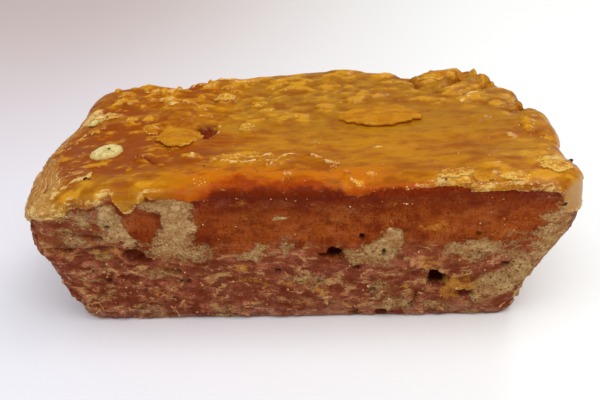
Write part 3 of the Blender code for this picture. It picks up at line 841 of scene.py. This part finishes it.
def laid_flake(tree, middle, half, turn, lift, thick, ragged, tone, seed, dome=0.0):
    """A grid drawn out to a ragged oval, laid on the slope under it, lifted at its front and thickened."""
    bm = bmesh.new()
    bmesh.ops.create_grid(bm, x_segments=FLAKE_CELLS, y_segments=FLAKE_CELLS, size=1.0)
    a, b = places(bm)[:, :2].T
    u, v = a * np.sqrt(1 - b * b / 2), b * np.sqrt(1 - a * a / 2)
    out = np.hypot(u, v)
    circle = np.stack([u, v, 0 * u], axis=1) / np.maximum(out, HAIR)[:, None]
    reach = 1 + ragged * (rough(circle, 0.8, seed * 3.1) + 0.7 * rough(circle, 0.18, seed * 1.7, octaves=2))
    u, v = u * reach * half[0], v * reach * half[1]
    turn = math.radians(turn)
    x = middle[0] + u * math.cos(turn) - v * math.sin(turn)
    y = middle[1] + u * math.sin(turn) + v * math.cos(turn)
    under = np.array([height_on(tree, px * MM, py * MM) for px, py in zip(x, y)]) / MM
    under = np.maximum(under, np.median(under) - 2.0)
    slope = np.stack([x, y, np.ones(len(x))], axis=1)
    even = slope @ np.linalg.lstsq(slope, under, rcond=None)[0]
    tip = smooth(-v / half[1], -0.6, 1.0)
    spots = np.stack([x, y, 0 * x], axis=1)
    wavy = min(1, 6 * ragged) * (0.4 * rough(spots, 3.5, seed) + 0.18 * rough(spots, 1.2, seed, octaves=2))
    z = 0.45 * even + 0.55 * under + lift * tip - 0.45 * (1 - tip) * out ** 2
    z = z + wavy + 0.2 + dome * (1 - out ** 2)
    put(bm, np.stack([x, y, z], axis=1) * MM)
    rim, paleness = (bm.verts.layers.float.new(name) for name in ("rim", "tone"))
    for vert, far in zip(bm.verts, out):
        vert[rim], vert[paleness] = far, tone
    bmesh.ops.solidify(bm, geom=bm.faces[:], thickness=thick * MM)
    bmesh.ops.recalc_face_normals(bm, faces=bm.faces)
    return bm


def join(into, bm):
    """Adds one bmesh to another."""
    mesh = bpy.data.meshes.new("part")
    bm.to_mesh(mesh)
    bm.free()
    into.from_mesh(mesh)
    bpy.data.meshes.remove(mesh)


skin_tree = surface_of(skin)
bm = bmesh.new()
for number, (fx, fy, half, wide, *form, dome) in enumerate(FLAKES):
    join(bm, laid_flake(skin_tree, (fx, fy), (half, wide), *form, number + 1, dome))

flake_finish, wire = finish_of("dried caramel flake")
patchy = wire.grain(3.0 * MM, 4, stretch=(1.8, 1, 1), shift=33)
flecks = wire.grain(0.9 * MM, 4, shift=37, roughness=0.7)
colour = (patchy * 0.7 + flecks * 0.3).above(0.35, 0.65).tint((182, 108, 4), (208, 142, 18))
# The rims are paler: a painted highlight along the edge, over the flake's own paleness.
chalk = wire.painted("tone") + wire.painted("rim").above(0.88, 0.99) * 0.4
chalk = (chalk + (flecks - 0.5) * 1.5 + (patchy - 0.5) * 0.9).above(0.42, 0.95)
colour = chalk.tint(colour, (236, 190, 92))
flake_bump = (flecks * 0.8 + patchy * 0.8).bumped(0.6 * MM)
surface(wire, colour, 0.24 + chalk * 0.3, 0.05, (0.1, (1.0, 0.4, 0.04), 1.5 * MM), Normal=flake_bump,
        Coat_Weight=0.12, Coat_Roughness=0.15)
flakes = finished("skin_flakes", bm, flake_finish)
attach(flakes, "root")
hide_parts("jaggery_block")

# --------------------------------------------------
# The chalky disc. One drop of froth dried to a smooth cream-coloured disc on the left of the top.

# The disc, and a patch of froth on the rim: middle, half sizes, then turn to paleness as for FLAKES.
DISC = ((-61.8, -16.4), (5.4, 6.0), -10, 0.3, 0.8, 0.05, 1.0)
RIM_FROTH = ((-74.4, 12.4), (3.6, 5.0), 14, 0.0, 0.35, 0.26, 1.0)
bm = laid_flake(skin_tree, *DISC, seed=24, dome=0.6)
join(bm, laid_flake(skin_tree, *RIM_FROTH, seed=27, dome=0.2))
chalky, wire = finish_of("dried froth")
flecks = wire.grain(0.8 * MM, 4, shift=41)
blotch = wire.grain(4.0 * MM, 3, shift=43)
edge = wire.painted("rim").above(0.6, 1.0)
colour = (blotch * 0.5 + flecks * 0.5).above(0.36, 0.6).tint((184, 158, 88), (230, 214, 148))
colour = (edge * 0.6).tint(colour, (180, 134, 50))
pores = wire.cells(1.1 * MM, 5.0)
froth_bump = (flecks * 0.4 + pores.above(0.05, 0.3) * 0.3).bumped(0.3 * MM)
surface(wire, colour, 0.5 + flecks * 0.2, 0.25, (0.2, (1.0, 0.6, 0.25), 1.5 * MM), Normal=froth_bump)
disc = finished("froth_disc", bm, chalky)
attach(disc, "root")
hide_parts("jaggery_block")

# --------------------------------------------------
# Curls of crust. The sugar against the mould's rough boards tore as the block was knocked out, and left
# small tan curls standing on the lower half of the walls and along the foot.

CURLS = 110
THICK = 0.5 * MM
body_tree = surface_of(body)


def curl(tree, place, out, turn, half, wide, stand, thick):
    """A leaf on a wall, its lower edge stuck down and its upper edge bent outwards."""
    bm = bmesh.new()
    bmesh.ops.create_grid(bm, x_segments=6, y_segments=3, size=1.0)
    a, b = places(bm)[:, :2].T
    narrow = np.sqrt(1 - 0.85 * a * a)
    level = Vector((0, 0, 1)).cross(out).normalized()
    run = Matrix.Rotation(turn, 3, out) @ level
    across = out.cross(run)
    for vert, u, v, taper in zip(bm.verts, a, b, narrow):
        lift = stand * (0.5 + 0.5 * v) ** 1.5 - 0.35 * MM
        spot = place + run * (u * half) + across * ((v * taper + 0.25 * u * u) * wide)
        near, facing, _, _ = tree.find_nearest(spot)
        vert.co = near + out * lift
    bmesh.ops.solidify(bm, geom=bm.faces[:], thickness=thick)
    bmesh.ops.recalc_face_normals(bm, faces=bm.faces)
    for vert in bm.verts:
        vert.co.z = max(vert.co.z, 0.05 * MM)
    return bm


bm = bmesh.new()
spots = np.flatnonzero((height > 1.8) & (height < 21))
weight = np.exp(-height[spots] / 9) * (1 + 1.5 * (wall[spots, 0] < -30 * MM))
for spot in draw.choice(spots, CURLS, p=weight / weight.sum()):
    half = draw.uniform(0.8, 1.7) * MM
    turn, wide, stand = draw.normal(-0.3, 0.9), half * draw.uniform(0.6, 1.0), draw.uniform(0.3, 0.9) * MM
    join(bm, curl(body_tree, Vector(wall_at[spot]), Vector(wall_out[spot]), turn, half, wide, stand, THICK))

tan, wire = finish_of("tan crust")
flecks = wire.grain(0.8 * MM, 4, shift=47)
colour = flecks.above(0.35, 0.7).tint((170, 96, 54), (226, 168, 108))
surface(wire, colour, 0.5 + flecks * 0.2, 0.2, (0.1, (1.0, 0.5, 0.2), 1.0 * MM),
        Normal=flecks.bumped(0.3 * MM))
curls = finished("crust_curls", bm, tan)
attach(curls, "root")
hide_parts("jaggery_block")

# --------------------------------------------------
# Grains. Loose sugar grains stick all over the block: thick along the edge of the skin and on its wrinkles,
# thinner on the walls and at the foot.


def grains(places_of, sizes, seed):
    """Small lumps stuck half into a surface."""
    draw = np.random.default_rng(seed)
    bm = bmesh.new()
    for place in places_of:
        size = draw.uniform(*sizes) * MM
        place.z = max(place.z, size * 1.5)
        shape = Matrix.Diagonal((*(size * draw.uniform(0.6, 1.4, 3)), 1))
        turn = Matrix.Rotation(draw.uniform(0, 6), 4, Vector(draw.normal(size=3)).normalized())
        stuck = Matrix.Translation(place) @ turn @ shape
        bmesh.ops.create_icosphere(bm, subdivisions=1, radius=1.0, matrix=stuck)
    return bm


at_edge = np.flatnonzero((abs(margin - 0.2) < 0.8) & (y < -25))
at_pale = np.flatnonzero((pale > 0.55) & (margin > 0))
at_top = np.flatnonzero(margin > 1)
low = np.flatnonzero((height > 0.8) & (height < 30))
at_foot = np.flatnonzero((height > 0.8) & (height < 3))
in_bloom = np.flatnonzero(bloom > 0.35)
on_skin = np.concatenate([draw.choice(at_edge, 80), draw.choice(at_pale, 160), draw.choice(at_top, 50)])
upper = np.flatnonzero((height > 28) & (height < 52))
on_wall = np.concatenate([
    draw.choice(low, 380), draw.choice(at_foot, 160), draw.choice(in_bloom, 120), draw.choice(upper, 120)])

# Clusters of crystals on the skin: X and Y, reach and how many.
CLUSTERS = (
    (11.6, -28.6, 2.2, 16), (18.6, -42, 2, 12), (-1.2, -38.4, 2.2, 16), (-48.6, -22.6, 1.8, 10),
    (23, -38, 2, 10), (33, -43.6, 1.6, 10), (-27, -40.5, 2.6, 14), (6, -14.8, 1.8, 6),
    (-40.5, -15.5, 3.6, 12), (43, -41.5, 3, 12),
)
clustered = []
for middle_x, middle_y, reach, count in CLUSTERS:
    for step_x, step_y in draw.normal(0, reach / 2, (count, 2)):
        spot_x, spot_y = (middle_x + step_x) * MM, (middle_y + step_y) * MM
        clustered.append(Vector((spot_x, spot_y, height_on(skin_tree, spot_x, spot_y))))

bm = grains([Vector(skin_at[spot]) for spot in on_skin] + clustered, (0.08, 0.28), 3)
join(bm, grains([Vector(wall_at[spot]) for spot in on_wall], (0.10, 0.36), 4))
sugar, wire = finish_of("sugar grains")
shade = wire.grain(2.0 * MM, 2, shift=53)
colour = shade.above(0.35, 0.65).tint((206, 138, 76), (244, 204, 148))
surface(wire, colour, 0.22 + shade * 0.2, 0.2, (0.2, (1.0, 0.6, 0.3), 0.5 * MM))
crumbs = finished("sugar_grains", bm, sugar)
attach(crumbs, "root")
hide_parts("jaggery_block")

# --------------------------------------------------
# Specks. A few bits of scorched cane and ash were stirred into the syrup, and some stuck to the skin.

# X and Y of a speck and its size, in millimetres.
SPECKS = (
    (-61, -16.5, 0.42), (-63.2, -35.4, 0.62), (82.3, -28.4, 0.8), (77, -46, 0.6), (-61.8, -35.8, 0.35),
    (-27.5, -30.5, 0.3), (-32.6, 20.6, 0.35), (13.2, -30, 0.25), (44, -42.6, 0.35),
)
disc_tree = surface_of(disc)
places_of_specks = []
for sx, sy, _ in SPECKS:
    up = max(height_on(tree, sx * MM, sy * MM) for tree in (skin_tree, disc_tree))
    places_of_specks.append(Vector((sx * MM, sy * MM, up)))
bm = bmesh.new()
for place, (_, _, size) in zip(places_of_specks, SPECKS):
    join(bm, grains([place], (size, size * 1.2), 7))
join(bm, grains([Vector(skin_at[spot]) for spot in draw.choice(at_top, 6)], (0.10, 0.2), 8))
join(bm, grains([Vector(wall_at[spot]) for spot in draw.choice(low, 50)], (0.12, 0.3), 9))
scorched, wire = finish_of("scorched specks")
shade = wire.grain(0.6 * MM, 2, shift=59)
colour = shade.above(0.3, 0.7).tint((28, 12, 8), (84, 46, 24))
surface(wire, colour, 0.4 + shade * 0.3, 0.3)
specks = finished("dark_specks", bm, scorched)
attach(specks, "root")
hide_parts("jaggery_block")

# --------------------------------------------------
# The table, the soft light and the camera.

bm = bmesh.new()
bmesh.ops.create_grid(bm, x_segments=1, y_segments=1, size=3.0)
table, wire = finish_of("pale table")
place = wire.node("ShaderNodeTexCoord", out=3)
# Painted shade and light: the table is darker and warmer towards the back and lighter towards the right, as
# the light falls off.
towards_back = wire.node("ShaderNodeSeparateXYZ", None, {0: place}, out=1).above(-0.12, 0.36)
towards_right = wire.node("ShaderNodeSeparateXYZ", None, {0: place}, out=0).above(-0.2, 0.15)
colour = towards_back.tint((240, 242, 255), (212, 198, 197))
colour = towards_right.tint(colour, (252, 255, 255))
surface(wire, colour, 0.7, 0.2)
floor = finished("table", bm, table)

world = bpy.data.worlds.new("soft room")
world.use_nodes = True
world.node_tree.nodes["Background"].inputs["Color"].default_value = (1.0, 0.97, 0.96, 1.0)
world.node_tree.nodes["Background"].inputs["Strength"].default_value = 0.30
bpy.context.scene.world = world


def softbox(name, place, aim, size, power, colour=(1, 1, 1)):
    light = bpy.data.lights.new(name, "AREA")
    light.shape = "RECTANGLE"
    light.size, light.size_y = size
    light.energy = power
    light.color = colour
    lamp = bpy.data.objects.new(name, light)
    lamp.location = place
    lamp.rotation_euler = (Vector(aim) - Vector(place)).to_track_quat("-Z", "Y").to_euler()
    bpy.context.scene.collection.objects.link(lamp)


softbox("window at the right", (0.55, -0.20, 1.0), (0, 0, 0), (0.8, 0.8), 3.2, (1.0, 0.97, 0.93))
softbox("fill at the left", (-0.7, -0.5, 0.7), (0, 0, 0.02), (0.6, 0.6), 1.6)
softbox("window behind", (0.45, 0.60, 0.70), (0, 0, 0.03), (0.3, 0.2), 1.4, (1.0, 0.98, 0.95))
softbox("soft ceiling", (0.1, -0.5, 1.4), (0, -0.1, 0), (1.4, 1.4), 13.6)

lens = bpy.data.cameras.new("camera")
lens.lens = 45.0
lens.sensor_width = 36.0
lens.clip_start = 0.01
camera = bpy.data.objects.new("camera", lens)
turn = Matrix.Rotation(math.radians(4.906), 4, "Z")
tilt = Matrix.Rotation(math.radians(90 - 30.24), 4, "X")
roll = Matrix.Rotation(math.radians(-3.872), 4, "Z")
camera.matrix_world = Matrix.Translation((0.01824, -0.23078, 0.16108)) @ turn @ tilt @ roll
bpy.context.scene.collection.objects.link(camera)
bpy.context.scene.camera = camera
bpy.context.scene.view_settings.view_transform = "Standard"
